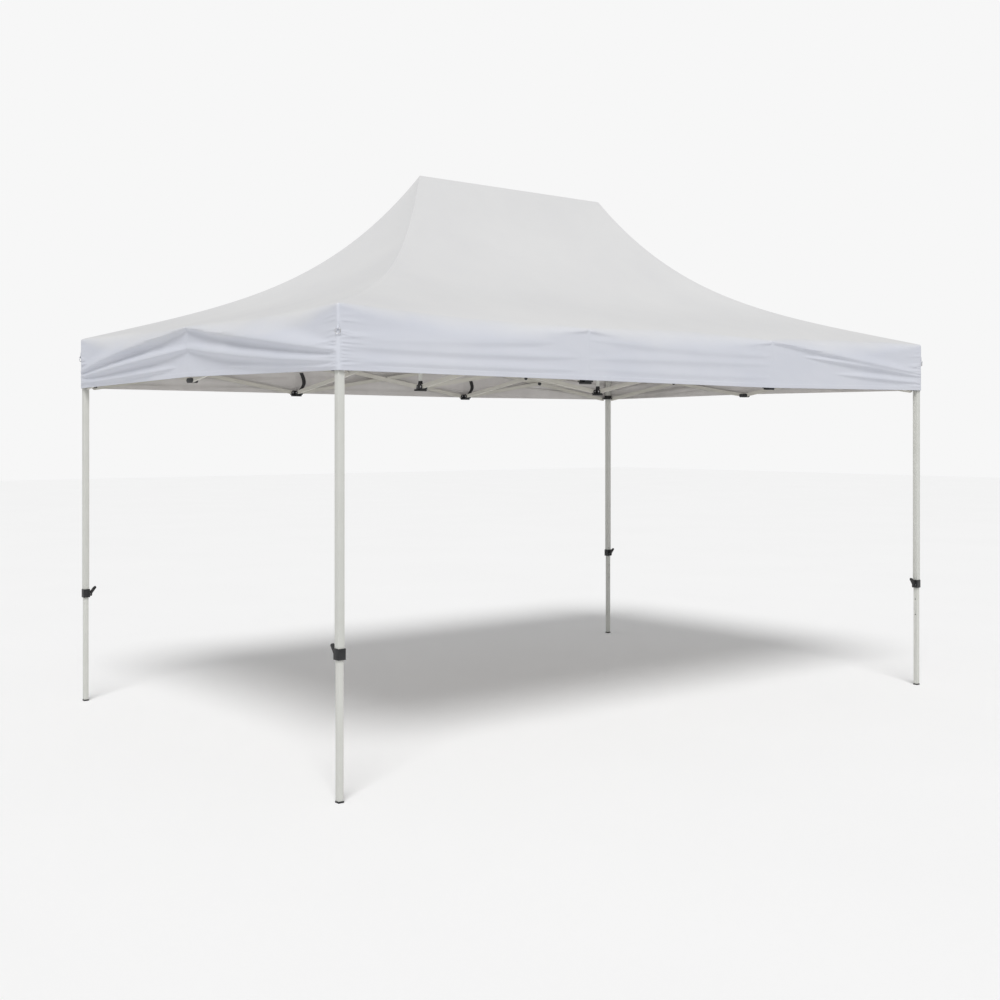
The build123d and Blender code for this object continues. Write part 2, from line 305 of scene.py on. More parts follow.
def cloth_weave(tree, shader, uv, rough, thread):
    """Plain weave with slubs; thread is the height of the sewing thread."""
    weave = math_node(tree, "MULTIPLY", woven(tree, uv, CLOTH_THREAD), 0.3)
    slub = noise_node(tree, uv, 260, 3)
    height = math_node(tree, "ADD", weave, slub)
    height = math_node(tree, "ADD", height, math_node(tree, "MULTIPLY", thread, 3.0))
    bump(tree, shader, height, 0.12, 0.0004)
    link(tree, map_range(tree, slub, rough - 0.06, rough + 0.06), shader.inputs["Roughness"])


def mix_colours(tree, share, a, b):
    node = tree.nodes.new("ShaderNodeMix")
    node.data_type = "RGBA"
    link(tree, share, node.inputs["Factor"])
    link(tree, a, node.inputs[6])
    link(tree, b, node.inputs[7])
    return node.outputs[2]


def outer_cloth():
    """Whiter on the roof, painted light from above on the same cloth, bluer on the valance, with sewn rows
    along the hem.
    """
    material, tree, shader = node_material("canopy_outer", (0.72, 0.72, 0.72), 0.8)
    shader.inputs["Sheen Weight"].default_value = 0.1
    place = coordinates(tree)
    uv = coordinates(tree, "UV")
    split = tree.nodes.new("ShaderNodeSeparateXYZ")
    link(tree, uv, split.inputs["Vector"])
    along, above = split.outputs["X"], split.outputs["Y"]
    cloud = noise_node(tree, place, 1.7, 4)
    # Painted light: the roof is painted lighter and whiter than the valance, as light from above falls on
    # the same cloth
    roof = ramp(tree, cloud, (0.675, 0.675, 0.680), (0.708, 0.708, 0.708))
    valance = ramp(tree, cloud, (0.595, 0.615, 0.682), (0.648, 0.663, 0.716))
    wander = math_node(tree, "MULTIPLY", noise_node(tree, place, 2.3, 3), EAVE_WANDER_IN_UV)
    low, high = EAVE_IN_UV
    edge = math_node(tree, "ADD", above, wander)
    share = threshold(tree, edge, low + EAVE_WANDER_IN_UV / 2, high - low)
    colour = mix_colours(tree, share, roof, valance)
    rows = stitches(tree, above, along, HEM_STITCHES)
    thread = mix_colours(tree, math_node(tree, "MULTIPLY", rows, 0.6), colour, valance)
    link(tree, thread, shader.inputs["Base Color"])
    cloth_weave(tree, shader, uv, 0.8, rows)
    return material


def inner_cloth():
    """The underside: greyer and warmer as painted shade under the roof with painted light through the cloth,
    a little smoother, with a faint mottle.
    """
    material, tree, shader = node_material("canopy_inner", (0.64, 0.62, 0.605), 0.7)
    place = coordinates(tree)
    mottle = noise_node(tree, place, 6.0, 5)
    # Painted shade and painted light through the cloth: the underside's greyer, warmer tone, with a random
    # mottle on it
    link(tree, ramp(tree, mottle, (0.595, 0.575, 0.560), (0.675, 0.655, 0.640)), shader.inputs["Base Color"])
    uv = coordinates(tree, "UV")
    cloth_weave(tree, shader, uv, 0.7, noise_node(tree, uv, 90, 2))
    return material


def paint_material(name, light, dark):
    material, tree, shader = node_material(name, light, 0.38)
    place = coordinates(tree)
    blotch = noise_node(tree, place, 9, 5)
    link(tree, ramp(tree, blotch, dark, light, (0.25, 0.6)), shader.inputs["Base Color"])
    peel = noise_node(tree, place, 700, 2)
    link(tree, map_range(tree, blotch, 0.3, 0.46), shader.inputs["Roughness"])
    bump(tree, shader, peel, 0.08, 0.0003)
    return material


def nylon_material(name, light, dark):
    material, tree, shader = node_material(name, light, 0.5)
    place = coordinates(tree)
    grain = noise_node(tree, place, 1300, 3)
    cloud = noise_node(tree, place, 40, 3)
    link(tree, ramp(tree, cloud, dark, light), shader.inputs["Base Color"])
    link(tree, map_range(tree, cloud, 0.42, 0.6), shader.inputs["Roughness"])
    bump(tree, shader, grain, 0.25, 0.0002)
    return material


def metal_material(name, light, dark):
    material, tree, shader = node_material(name, light, 0.3, metallic=0.9)
    place = coordinates(tree)
    spots = noise_node(tree, place, 220, 4)
    link(tree, ramp(tree, spots, dark, light), shader.inputs["Base Color"])
    link(tree, map_range(tree, spots, 0.22, 0.42), shader.inputs["Roughness"])
    return material


def webbing_material(name, light, dark):
    material, tree, shader = node_material(name, light, 0.85, sheen=0.2)
    uv = coordinates(tree, "UV")
    weave = woven(tree, uv, WEBBING_THREAD)
    # Painted shade: the webbing is darker where its weave is low, between the threads, and lighter on the
    # thread tops
    link(tree, ramp(tree, weave, dark, light), shader.inputs["Base Color"])
    bump(tree, shader, weave, 0.6, 0.0003)
    return material


OUTER = outer_cloth()
INNER = inner_cloth()
LEG_PAINT = paint_material("leg_paint", (0.640, 0.645, 0.610), (0.605, 0.610, 0.572))
BAR_PAINT = paint_material("bar_paint", (0.60, 0.585, 0.53), (0.55, 0.535, 0.48))
NYLON = nylon_material("black_nylon", (0.022, 0.022, 0.024), (0.012, 0.012, 0.013))
ZINC = metal_material("zinc_plate", (0.72, 0.72, 0.73), (0.5, 0.5, 0.52))
TAB = webbing_material("white_webbing", (0.62, 0.64, 0.70), (0.52, 0.54, 0.60))
WEBBING = webbing_material("black_webbing", (0.03, 0.03, 0.032), (0.008, 0.008, 0.009))


# ---------------------------------------------------------------- CAD nodes: material by loose part
def loose_parts(mesh):
    """The polygons of each closed solid in a mesh: a list of (polygon indices, low, high)."""
    points = np.zeros(len(mesh.vertices) * 3)
    mesh.vertices.foreach_get("co", points)
    points = points.reshape(-1, 3)
    keys = {}
    place = [keys.setdefault(tuple(key), len(keys)) for key in np.round(points, 6).tolist()]
    parent = list(range(len(keys)))

    def top(i):
        while parent[i] != i:
            parent[i] = parent[parent[i]]
            i = parent[i]
        return i

    for polygon in mesh.polygons:
        first = top(place[polygon.vertices[0]])
        for vertex in polygon.vertices[1:]:
            parent[top(place[vertex])] = first
    groups = {}
    for polygon in mesh.polygons:
        groups.setdefault(top(place[polygon.vertices[0]]), []).append(polygon.index)
    found = []
    for polygons in groups.values():
        used = sorted({v for p in polygons for v in mesh.polygons[p].vertices})
        found.append((polygons, points[used].min(0), points[used].max(0)))
    return found


def paint(obj, materials, choose):
    """Gives each loose part of obj the material whose index choose(low, high) returns."""
    obj.data.materials.clear()
    for material in materials:
        obj.data.materials.append(material)
    for polygons, low, high in loose_parts(obj.data):
        index = choose(Vector(low), Vector(high))
        for polygon in polygons:
            obj.data.polygons[polygon].material_index = index


def moulded(node, materials, choose, width=0.0016, reshape=None):
    """A copy of a CAD node with rounded edges, which stands for it."""
    bm = bmesh.new()
    bm.from_mesh(frame["nodes"][node].data)
    bmesh.ops.remove_doubles(bm, verts=bm.verts, dist=1e-6)
    bmesh.ops.dissolve_limit(bm, angle_limit=math.radians(0.5), verts=bm.verts, edges=bm.edges)
    obj = from_bmesh(node + "_moulded", bm)
    paint(obj, materials, choose)
    rounded(obj, width, 2)
    if reshape:
        for vertex in obj.data.vertices:
            vertex.co = reshape(vertex.co)
        smooth(obj, 40)
    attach(obj, body_of(node))
    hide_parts(node)
    return obj


def inside_corner(point):
    """Cuts the outer corner of a leg's mouldings, where the cloth goes round it."""
    over = abs(point.x) - LEG_X + abs(point.y) - LEG_Y - MOULDING_REACH
    if over > 0:
        point = point - Vector((math.copysign(over / 2, point.x), math.copysign(over / 2, point.y), 0))
    return point


def raised_slider(point):
    """The slider's underside, drawn up behind the hem."""
    low = max(SLIDER_TRIM_Z - point.z, 0)
    return inside_corner(point + Vector((0, 0, SLIDER_TRIM_SHARE * low)))


def body_of(node):
    return frame["nodes"][node]["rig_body"]


LONG_PART = 0.5
THIN_PART = 0.003
PIN_THICK = 0.03
PIN_LONG = 0.05


def small(low, high):
    """True for a pin, by the size of the part's box."""
    size = sorted(high - low)
    return size[1] < PIN_THICK and size[2] < PIN_LONG


def dress_bars():
    for node, obj in frame["nodes"].items():
        if not node.endswith("_bar"):
            continue

        def choose(low, high):
            """The tube is the long part, a spacer is thin, and the rest are pins."""
            size = sorted(high - low)
            if size[2] > LONG_PART:
                return 0
            return 1 if size[0] < THIN_PART else 2

        paint(obj, [BAR_PAINT, NYLON, ZINC], choose)
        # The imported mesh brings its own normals, which show on smooth faces
        obj.data.polygons.foreach_set("use_smooth", [True] * len(obj.data.polygons))


def dress_connectors():
    def pin_or_block(low, high):
        return int(small(low, high))

    def pole_parts(low, high):
        """The pole is tall, the pins are small and low, and the block and the plug are moulded."""
        if high.z - low.z > LONG_PART:
            return 2
        return 1 if small(low, high) and high.z < UPPER_PIVOT_Z else 0

    for node in list(frame["nodes"]):
        if node.endswith(("_connector", "_hub")):
            moulded(node, [NYLON, ZINC], pin_or_block)
        if node.endswith("_slider"):
            moulded(node, [NYLON, ZINC], pin_or_block, reshape=raised_slider)
        if node.endswith("_peak_pole"):
            moulded(node, [NYLON, ZINC, LEG_PAINT], pole_parts, 0.0012)


def dress_legs():
    def upper_parts(low, high):
        if high.z - low.z > LONG_PART:
            return 0
        return 2 if small(low, high) else 1

    def lower_parts(low, high):
        return 0 if high.z - low.z > LONG_PART else 1

    def all_one(low, high):
        return 0

    for name in LEGS:
        finish = [LEG_PAINT, NYLON, ZINC]
        moulded(name + "_upper_leg", finish, upper_parts, reshape=inside_corner)
        moulded(name + "_lower_leg", [LEG_PAINT, NYLON], lower_parts)
        moulded(name + "_lock_lever", [NYLON], all_one)


# ---------------------------------------------------------------- canopy
# Sides in order: front, right, back, left. Each runs anticlockwise seen from above.
LONG_SIDE = dict(half=OUT_X, deep=OUT_Y, top=RIDGE_HALF, posts=(-HUB_X, HUB_X))
SHORT_SIDE = dict(half=OUT_Y, deep=OUT_X, top=0.0, posts=(0.0,))
SIDES = (
    dict(LONG_SIDE, name="front", along=(1, 0), inward=(0, 1)),
    dict(SHORT_SIDE, name="right", along=(0, 1), inward=(-1, 0)),
    dict(LONG_SIDE, name="back", along=(-1, 0), inward=(0, -1)),
    dict(SHORT_SIDE, name="left", along=(0, -1), inward=(1, 0)),
)
# How far the eave hangs between its supports, one value for each stretch of each side
EAVE_SAG = {
    "front": (0.042, 0.002, 0.010),
    "right": (0.018, 0.012),
    "back": (0.020, 0.004, 0.030),
    "left": (0.010, 0.022),
}
# Hem height at the start, each support and the end of each side, above the CAD hem
HEM_RISE = {
    "front": (0.003, -0.004, -0.012, 0.004),
    "right": (0.004, 0.012, 0.002),
    "back": (0.002, -0.006, -0.002, 0.000),
    "left": (0.000, 0.021, 0.003),
}
# Folds of each stretch, as rows of: drop of the crest below the eave at the corner and at the support,
# how far it bows down between them, its height, its width above and below the crest,
# and the share of the stretch that it reaches over, from the corner.
STRONG = (
    (0.203, 0.006, -0.006, 0.046, 0.056, 0.022, 1.04),
    (0.240, 0.118, 0.002, 0.036, 0.036, 0.021, 1.06),
    (0.268, 0.205, 0.006, 0.018, 0.030, 0.016, 0.90),
)
STRONG_FRONT = (
    (0.212, 0.006, -0.002, 0.046, 0.058, 0.024, 1.04),
    (0.256, 0.116, 0.010, 0.034, 0.046, 0.024, 1.06),
    (0.285, 0.200, 0.006, 0.012, 0.030, 0.016, 0.70),
)
SOFT = (
    (0.155, 0.070, 0.004, 0.009, 0.050, 0.024, 0.85),
    (0.190, 0.150, 0.006, 0.010, 0.036, 0.022, 0.95),
    (0.252, 0.215, 0.002, 0.007, 0.028, 0.018, 0.95),
)
BANDS = (
    (0.060, 0.090, 0.004, 0.007, 0.036, 0.024, 1.0),
    (0.150, 0.140, -0.006, 0.006, 0.034, 0.020, 1.0),
    (0.205, 0.215, 0.004, 0.004, 0.026, 0.018, 1.0),
)
CRISP = (
    (0.186, 0.000, 0.000, 0.021, 0.034, 0.014, 1.04),
    (0.214, 0.066, -0.004, 0.016, 0.022, 0.013, 0.80),
    (0.246, 0.150, 0.000, 0.011, 0.020, 0.011, 0.60),
)
FOLDS = {
    "front": (SOFT, BANDS, CRISP),
    "right": (STRONG, STRONG_FRONT),
    "back": (CRISP, BANDS, SOFT),
    "left": (STRONG, STRONG_FRONT),
}
PUCKER_DROPS = (0.050, 0.075, 0.118, 0.134, 0.151, 0.167, 0.186, 0.203, 0.221, 0.240, 0.258, 0.274)
PUCKER_HEIGHT = 0.0065
# Ripples all over the valance: seed, height, and how fast they vary along it and up it
RIPPLES = ((30, 0.0016, 3.0, 26.0), (60, 0.0005, 22.0, 60.0))
SEAM_HEIGHT = 0.0009
SEAM_REACH = 0.006
CREASE_HEIGHT = 0.006
CREASE_DROP = 0.012
CREASE_SLOPE = 0.08
CREASE_REACH = 0.20


def supports(side):
    return (-side["half"], *side["posts"], side["half"])


def post_height(side):
    return EAVE_LONG_Z if side["top"] else EAVE_SHORT_Z


def support_heights(side):
    return (EAVE_CORNER_Z, *[post_height(side)] * len(side["posts"]), EAVE_CORNER_Z)


def stretch_share(side, s):
    """Which stretch between supports s is on, and how far along it, 0 to 1."""
    places = np.array(supports(side))
    index = np.clip(np.searchsorted(places, s, side="right") - 1, 0, len(places) - 2)
    share = (s - places[index]) / (places[index + 1] - places[index])
    return index, np.clip(share, 0, 1)


def eave_height(side, s):
    index, share = stretch_share(side, s)
    heights = np.array(support_heights(side))
    sag = np.array(EAVE_SAG[side["name"]])[index]
    line = heights[index] * (1 - share) + heights[index + 1] * share
    return line - sag * np.sin(np.pi * share) ** 1.3


def hem_height(side, s):
    rises = HEM_RISE[side["name"]]
    return HEM_Z + np.interp(s, supports(side), rises)


def eave_radius(side, s):
    index, share = stretch_share(side, s)
    return POST_EAVE_RADIUS + FREE_EAVE_RADIUS * np.sin(np.pi * share) ** 0.8


def roof_curve(t):
    return ROOF_STRAIGHT_SHARE * t + (1 - ROOF_STRAIGHT_SHARE) * t**4


def wave_noise(x, z, seed, scale_x, scale_z):
    """Smooth noise from a few sines, about -1 to 1."""
    draw = random.Random(seed)
    total = 0
    for _ in range(5):
        kx = draw.uniform(0.4, 1.6) * scale_x
        kz = draw.uniform(0.4, 1.6) * scale_z
        total = total + np.sin(kx * x + kz * z + draw.uniform(0, 6.28))
    return total / 3.5


def crest(offset, above, below):
    """Cross-section of a tension fold: gentle over the crest, steep beneath it."""
    return np.exp(-((offset / np.where(offset > 0, above, below)) ** 2))


def stretch_folds(rows, share, z, corner_z, support_z, draw):
    out = np.zeros_like(z)
    for corner_drop, support_drop, bow, height, above, below, reach in rows:
        corner_drop += draw.uniform(-0.006, 0.006)
        line = (corner_z - corner_drop) * (1 - share) + (support_z - support_drop) * share
        line = line - (bow + draw.uniform(-0.003, 0.003)) * np.sin(np.pi * share)
        swell = np.sin(np.pi * np.clip(share / reach, 0, 1)) ** 0.65
        width = 0.22 + 0.78 * swell
        out = out + height * swell * crest(z - line, above * width, below * width)
    return out


def puckers(gap, z, draw, strength):
    """Small gathers that run out of a corner seam."""
    out = np.zeros_like(z)
    for drop in PUCKER_DROPS:
        level = EAVE_CORNER_Z - drop + draw.uniform(-0.004, 0.004)
        slope = draw.uniform(-0.16, 0.10)
        length = draw.uniform(0.05, 0.17)
        height = strength * draw.uniform(0.45, 1.0) * min(drop / 0.15, 1)
        fade = np.clip((gap - 0.010) / 0.016, 0, 1) * np.exp(-((gap / length) ** 2))
        wide = 0.0045 + 0.05 * gap
        out = out + height * fade * crest(z - level - slope * gap, wide, 0.7 * wide)
    return out


def fold_depth(side, number, s, z):
    """How far the valance stands out at (s, z)."""
    index, share = stretch_share(side, s)
    last = len(supports(side)) - 2
    post = post_height(side)
    out = np.zeros_like(z)
    for seed, height, along, up in RIPPLES:
        out = out + height * (1 + wave_noise(s, z, number + seed, along, up))
    for stretch, rows in enumerate(FOLDS[side["name"]]):
        draw = random.Random(100 * number + stretch)
        from_corner = 1 - share if stretch == last and stretch else share
        start = post if 0 < stretch < last else EAVE_CORNER_Z
        folds = stretch_folds(rows, from_corner, z, start, post, draw)
        out = out + np.where(index == stretch, folds, 0)
    gap = side["half"] - np.abs(s)
    for end in (-1, 1):
        draw = random.Random(17 * number + end)
        out = out + np.where(np.sign(s) == end, puckers(gap, z, draw, PUCKER_HEIGHT), 0)
    for place in side["posts"]:
        away = np.abs(s - place)
        out = out + SEAM_HEIGHT * np.exp(-((away / SEAM_REACH) ** 2))
        # A short crease that ends at the support, where the frame pushes the cloth up
        pinch = np.clip(away / 0.02, 0, 1) * np.exp(-((away / CREASE_REACH) ** 2))
        out = out + CREASE_HEIGHT * pinch * crest(z - post + CREASE_DROP + CREASE_SLOPE * away, 0.016, 0.007)
    hem = hem_height(side, s)
    return out + HEM_STANDS_OUT * np.clip((hem + HEM_TALL - z) / 0.003, 0, 1)


def side_surface(side, number, s, v):
    """Points of one side. v runs 0 to 1 up the valance, 1 to 2 round the eave, 2 to 3 up the roof."""
    eave = eave_height(side, s)
    hem = hem_height(side, s)
    radius = eave_radius(side, s)
    edge_share = radius / OUT_Y
    sunk = EAVE_CORNER_Z - eave
    run = side["deep"] - (0 if side["top"] else RIDGE_HALF)
    gap = side["half"] - np.abs(s)

    def roof(t):
        z = EAVE_CORNER_Z + (RIDGE_Z - EAVE_CORNER_Z) * roof_curve(t) - sunk * (1 - t) ** 7
        belly = ROOF_BELLY * np.sin(np.pi * np.clip(t, 0, 1)) * (1 - (s / side["half"]) ** 2)
        return z - belly

    valance, turn, climb = (np.clip(v - start, 0, 1) for start in (0, 1, 2))
    z = hem + (eave - radius - hem) * valance
    # The eave is a quadratic curve from the top of the valance to the foot of the roof
    eave_z = (1 - turn) ** 2 * (eave - radius) + 2 * turn * (1 - turn) * eave + turn**2 * roof(edge_share)
    roof_share = edge_share + (1 - edge_share) * climb
    z = np.where(v > 2, roof(roof_share), np.where(v > 1, eave_z, z))
    inset = np.where(v > 2, roof_share * run, np.where(v > 1, turn**2 * edge_share * run, 0.0))
    t = inset / run
    along = s * (side["half"] + (side["top"] - side["half"]) * t) / side["half"]
    stands = fold_depth(side, number, s, z) * np.exp(-np.maximum(inset - 0.004, 0) / 0.05)
    inset = inset - stands * np.clip(gap / 0.01, 0, 1)
    # The corner is round in plan, and sharper further up the hip
    swing = np.radians(45) * np.clip(1 - gap / CORNER_RADIUS, 0, 1)
    fade = np.clip(1 - t / CORNER_ROUND_UP_TO, 0, 1)
    pull = CORNER_RADIUS * (1 - np.cos(swing)) * fade
    back = (CORNER_RADIUS * (1 - np.sin(swing)) - gap) * fade
    round_here = gap < CORNER_RADIUS
    inset = np.where(round_here, inset + pull, inset)
    along = np.where(round_here, along - np.sign(s) * back, along)
    ax, ay = side["along"]
    nx, ny = side["inward"]
    x = ax * along + nx * (inset - side["deep"])
    y = ay * along + ny * (inset - side["deep"])
    return np.stack([x, y, z], -1)


GRID_STEP = 0.020
GRID_CROWDING = 0.72
VALANCE_ROWS = 88
EAVE_ROWS = 8
ROOF_ROWS = 52
ROOF_ROW_CROWDING = 1.15
UV_BETWEEN_SIDES = 6.0
SEAM_MERGE = 2e-4


def grid_steps(side):
    """Places along a side, closer together at its corners and supports."""
    places = supports(side)
    steps = [places[0]]
    for start, end in zip(places, places[1:]):
        count = int(round((end - start) / GRID_STEP))
        u = np.arange(1, count + 1) / count
        u = u - GRID_CROWDING * np.sin(2 * np.pi * u) / (2 * np.pi)
        steps += list(start + (end - start) * u)
    return np.array(steps)


def make_canopy():
    """The cover as one mesh, its sides joined up the hips and along the ridge. Its UV is in metres."""
    rows = np.concatenate([
        np.arange(0, VALANCE_ROWS) / VALANCE_ROWS,
        1 + np.arange(0, EAVE_ROWS) / EAVE_ROWS,
        2 + (np.arange(0, ROOF_ROWS + 1) / ROOF_ROWS) ** ROOF_ROW_CROWDING,
    ])
    points, faces, uvs = [], [], []
    start = 0
    for number, side in enumerate(SIDES):
        steps = grid_steps(side)
        s, v = np.meshgrid(steps, rows)
        grid = side_surface(side, number, s.ravel(), v.ravel())
        width = len(steps)
        points.append(grid)
        runs = np.linalg.norm(np.diff(grid.reshape(len(rows), width, 3), axis=0), axis=2).mean(1)
        heights = np.concatenate([[0], np.cumsum(runs)])
        offset = UV_BETWEEN_SIDES * number
        across = grid[:, :2] @ np.array(side["along"])
        for i in range(len(rows) - 1):
            for j in range(width - 1):
                a = start + i * width + j
                faces.append((a, a + 1, a + 1 + width, a + width))
                corners = ((j, i), (j + 1, i), (j + 1, i + 1), (j, i + 1))
                uvs += [(offset + across[q * width + p], heights[q]) for p, q in corners]
        start += len(grid)
    mesh = bpy.data.meshes.new("canopy_cover")
    mesh.from_pydata(np.concatenate(points).tolist(), [], faces)
    layer = mesh.uv_layers.new(name="UVMap")
    layer.data.foreach_set("uv", np.array(uvs).ravel())
    bm = bmesh.new()
    bm.from_mesh(mesh)
    bmesh.ops.remove_doubles(bm, verts=bm.verts, dist=SEAM_MERGE)
    bm.to_mesh(mesh)
    bm.free()
    obj = new_object("canopy_cover", mesh)
    for material in (OUTER, INNER):
        mesh.materials.append(material)
    smooth(obj, 50)
    return obj


def follow_frame(obj):
    """Each point of the cloth moves with the posts around it, and the roof partly with their lower ends."""
    mesh = obj.data
    points = np.zeros(len(mesh.vertices) * 3)
    mesh.vertices.foreach_get("co", points)
    x, y, z = points.reshape(-1, 3).T
    columns = np.array([-LEG_X, -HUB_X, HUB_X, LEG_X])
    rows = np.array([-LEG_Y, 0.0, LEG_Y])

    def hat(values, places, k):
        knots = np.repeat(places, 2) + np.tile((-POST_REACH, POST_REACH), len(places))
        heights = np.zeros(len(knots))
        heights[2 * k:2 * k + 2] = 1
        return np.interp(values, knots, heights)

    sinks = ROOF_SINK * np.clip((z - ROOF_SINK_FROM) / (RIDGE_Z - ROOF_SINK_FROM), 0, 1)
    weights = {}

    def add(body, weight):
        weights[body] = weights.get(body, 0) + weight

    for i, across in enumerate(("left", "left", "right", "right")):
        for j, depth in enumerate(("front", "middle", "back")):
            weight = hat(x, columns, i) * hat(y, rows, j)
            upper, lower = ("upper_leg", "slider") if i in (0, 3) else ("upper_connector", "lower_connector")
            if depth == "middle" and i in (1, 2):
                add(f"{across}_upper_hub", weight * (1 - sinks))
                add(f"{across}_lower_hub_and_peak_pole", weight * sinks)
                continue
            ends = ("front", "back") if depth == "middle" else (depth,)
            for end in ends:
                add(f"{end}_{across}_{upper}", weight * (1 - sinks) / len(ends))
                add(f"{end}_{across}_{lower}", weight * sinks / len(ends))
    for body, weight in weights.items():
        if body == "left_upper_hub":
            continue
        group = obj.vertex_groups.new(name=body)
        for index in np.nonzero(weight > 1e-4)[0]:
            group.add([int(index)], float(weight[index]), "REPLACE")
        hook = obj.modifiers.new("follow_" + body, "HOOK")
        hook.object = frame["bodies"][body]
        hook.vertex_group = body
        hook.falloff_type = "NONE"


def dress_canopy():
    cover = make_canopy()
    follow_frame(cover)
    thick = cover.modifiers.new("cloth", "SOLIDIFY")
    thick.thickness = CLOTH
    thick.offset = -1
    thick.material_offset = 1
    thick.material_offset_rim = 0
    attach(cover, "left_upper_hub")
    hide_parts("canopy")
    return cover


# ---------------------------------------------------------------- small fittings
def dressed(obj, body, materials):
    for material in materials:
        obj.data.materials.append(material)
    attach(obj, body)
    return obj


def prism(name, outline, start, end, place):
    """A solid between two heights of a plane outline; place(u, v, w) gives each point."""
    bm = bmesh.new()
    rings = [[bm.verts.new(place(u, v, w)) for u, v in outline] for w in (start, end)]
    count = len(outline)
    for i in range(count):
        j = (i + 1) % count
        bm.faces.new((rings[0][i], rings[0][j], rings[1][j], rings[1][i]))
    bm.faces.new(list(reversed(rings[0])))
    bm.faces.new(rings[1])
    bmesh.ops.recalc_face_normals(bm, faces=bm.faces)
    return from_bmesh(name, bm)


def stadium(half_length, radius, steps=10):
    """Outline of a plate with round ends."""
    flat = half_length - radius
    turns = [math.pi * (i / steps - 0.5) for i in range(steps + 1)]
    right = [(flat + radius * math.cos(t), radius * math.sin(t)) for t in turns]
    return right + [(-u, -v) for u, v in right]


def turned(name, profile, centre, steps=32):
    """A turned shape from rows of (radius, height) about a vertical axis."""
    bm = bmesh.new()
    rings = []
    for radius, height in profile:
        turns = [2 * math.pi * i / steps for i in range(steps)]
        points = [centre + Vector((radius * math.cos(t), radius * math.sin(t), height)) for t in turns]
        rings.append([bm.verts.new(point) for point in points])
    for low, high in zip(rings, rings[1:]):
        for i in range(steps):
            j = (i + 1) % steps
            bm.faces.new((low[i], low[j], high[j], high[i]))
    bm.faces.new(list(reversed(rings[0])))
    bm.faces.new(rings[-1])
    bmesh.ops.recalc_face_normals(bm, faces=bm.faces)
    return smooth(from_bmesh(name, bm), 35)


def wire(name, points, radius, closed=False):
    """A round wire along points, as a mesh."""
    data = bpy.data.curves.new(name + "_path", "CURVE")
    data.dimensions = "3D"
    data.bevel_depth = radius
    data.bevel_resolution = 3
    spline = data.splines.new("POLY")
    spline.points.add(len(points) - 1)
    for point, place in zip(spline.points, points):
        point.co = (*place, 1)
    spline.use_cyclic_u = closed
    path = bpy.data.objects.new(name + "_path", data)
    bpy.context.scene.collection.objects.link(path)
    graph = bpy.context.evaluated_depsgraph_get()
    mesh = bpy.data.meshes.new_from_object(path.evaluated_get(graph), depsgraph=graph)
    bpy.data.objects.remove(path)
    return smooth(new_object(name, mesh), 60)


def ribbon(name, points, across, wide, thick):
    """Flat webbing along points; across is the direction of its width. Its UV runs in metres."""
    bm = bmesh.new()
    layer = bm.loops.layers.uv.new("UVMap")
    across = across.normalized()
    rows, run = [], 0.0
    for i, point in enumerate(points):
        ahead = points[min(i + 1, len(points) - 1)] - points[max(i - 1, 0)]
        out = across.cross(ahead).normalized() * (thick / 2)
        run += (point - points[i - 1]).length if i else 0
        side = across * (wide / 2)
        corners = (point - side - out, point + side - out, point + side + out, point - side + out)
        rows.append(([bm.verts.new(corner) for corner in corners], run))
    widths = (0, wide, wide + thick, 2 * wide + thick, 2 * wide + 2 * thick)
    for (low, u0), (high, u1) in zip(rows, rows[1:]):
        for k in range(4):
            m = (k + 1) % 4
            face = bm.faces.new((low[k], low[m], high[m], high[k]))
            places = ((u0, widths[k]), (u0, widths[k + 1]), (u1, widths[k + 1]), (u1, widths[k]))
            for loop, uv in zip(face.loops, places):
                loop[layer].uv = uv
    bm.faces.new(list(reversed(rows[0][0])))
    bm.faces.new(rows[-1][0])
    bmesh.ops.recalc_face_normals(bm, faces=bm.faces)
    return smooth(from_bmesh(name, bm), 30)


def curve_points(knots, steps):
    """Points of a smooth curve through knots (Catmull-Rom)."""
    knots = [Vector(k) for k in knots]
    padded = [2 * knots[0] - knots[1]] + knots + [2 * knots[-1] - knots[-2]]
    points = []
    for a, b, c, d in zip(padded, padded[1:], padded[2:], padded[3:]):
        for i in range(steps):
            t = i / steps
            square = (2 * a - 5 * b + 4 * c - d) * t**2
            cube = (3 * b - 3 * c + d - a) * t**3
            points.append(0.5 * (2 * b + (c - a) * t + square + cube))
    return points + [knots[-1]]


def corner_rings():
    """A steel ring on a short webbing tab, sewn on each corner seam for a guy line."""
    pieces = []
    up = Vector((0, 0, 1))
    for name, (sx, sy) in LEGS.items():
        out = Vector((sx, sy, 0)).normalized()
        side = out.cross(up)
        corner = Vector((sx * (OUT_X - SEAM_IN), sy * (OUT_Y - SEAM_IN), 0))
        centre = corner + out * RING_OUT + up * RING_Z
        turns = [2 * math.pi * i / RING_STEPS for i in range(RING_STEPS)]
        circle = [centre + (side * math.cos(t) + up * math.sin(t)) * RING_RADIUS for t in turns]
        ring = wire(name + "_guy_ring", circle, RING_WIRE, True)
        pieces.append(dressed(ring, name + "_upper_leg", [ZINC]))
        top = RING_Z + RING_RADIUS
        loop = [corner + out * away + up * (top + height) for away, height in TAB_BENDS]
        tab = ribbon(name + "_ring_tab", curve_points(loop, 5), side, TAB_WIDTH, TAB_THICK)
        pieces.append(dressed(tab, name + "_upper_leg", [TAB]))
    return pieces


def frame_straps():
    """Webbing that holds the cloth to each lower connector of the long sides."""
    for name in ("front_left", "front_right", "back_left", "back_right"):
        node = name + "_lower_connector"
        x = HUB_X if name.endswith("right") else -HUB_X
        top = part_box(node)[1].z
        sign = -1 if name.startswith("front") else 1
        knots = [(x + sign * out, sign * (LEG_Y - inward), top + up) for out, inward, up in STRAP_BENDS]
        strap = ribbon(name + "_frame_strap", curve_points(knots, 7), STRAP_ACROSS, STRAP_WIDTH, STRAP_THICK)
        dressed(strap, body_of(node), [WEBBING])


